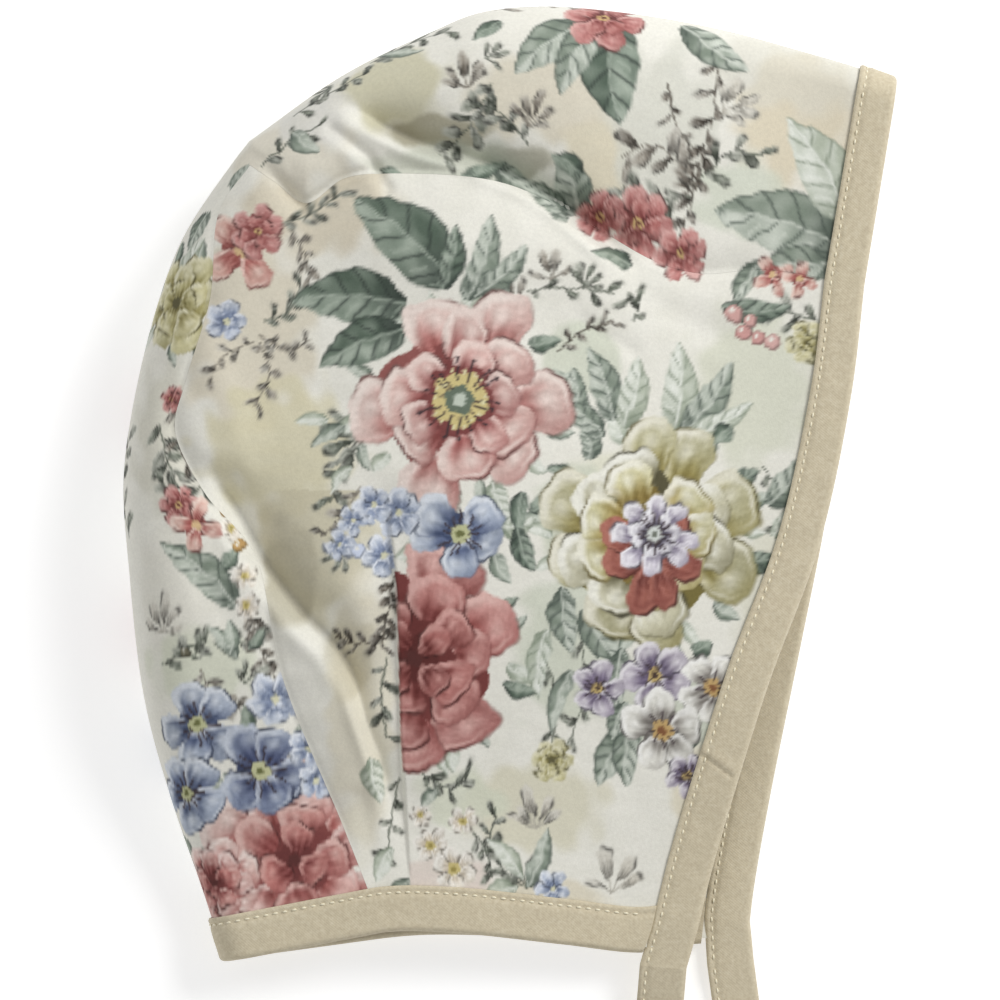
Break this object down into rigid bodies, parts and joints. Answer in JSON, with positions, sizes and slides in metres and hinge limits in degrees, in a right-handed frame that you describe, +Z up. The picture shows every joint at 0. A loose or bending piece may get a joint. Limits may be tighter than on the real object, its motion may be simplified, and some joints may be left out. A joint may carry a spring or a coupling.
{
  "type": "baby bonnet",
  "caption": "Baby bonnet of floral printed cotton in three panels with linen-bound face and neck edges and flat ties, lying on its side.",
  "frame": {"origin": "on the surface the bonnet lies on, under the middle of the bonnet without its ties", "axes": "+X towards the face opening, +Y towards the crown, +Z up, out of the wearer's right side"},
  "size_m": [0.1714, 0.2804, 0.0296],
  "materials": {
    "printed_cotton": "cream cotton with a rose chintz print in pink, brick red, blue, yellow and sage",
    "linen_binding": "plain woven beige linen, topstitched in cream thread"
  },
  "bodies": {
    "root": {"centre_panel": "printed_cotton", "side_panel_right": "printed_cotton", "side_panel_left": "printed_cotton", "front_binding": "linen_binding", "neck_binding": "linen_binding", "tie_right": "linen_binding", "tie_left": "linen_binding"}
  },
  "joints": []
}
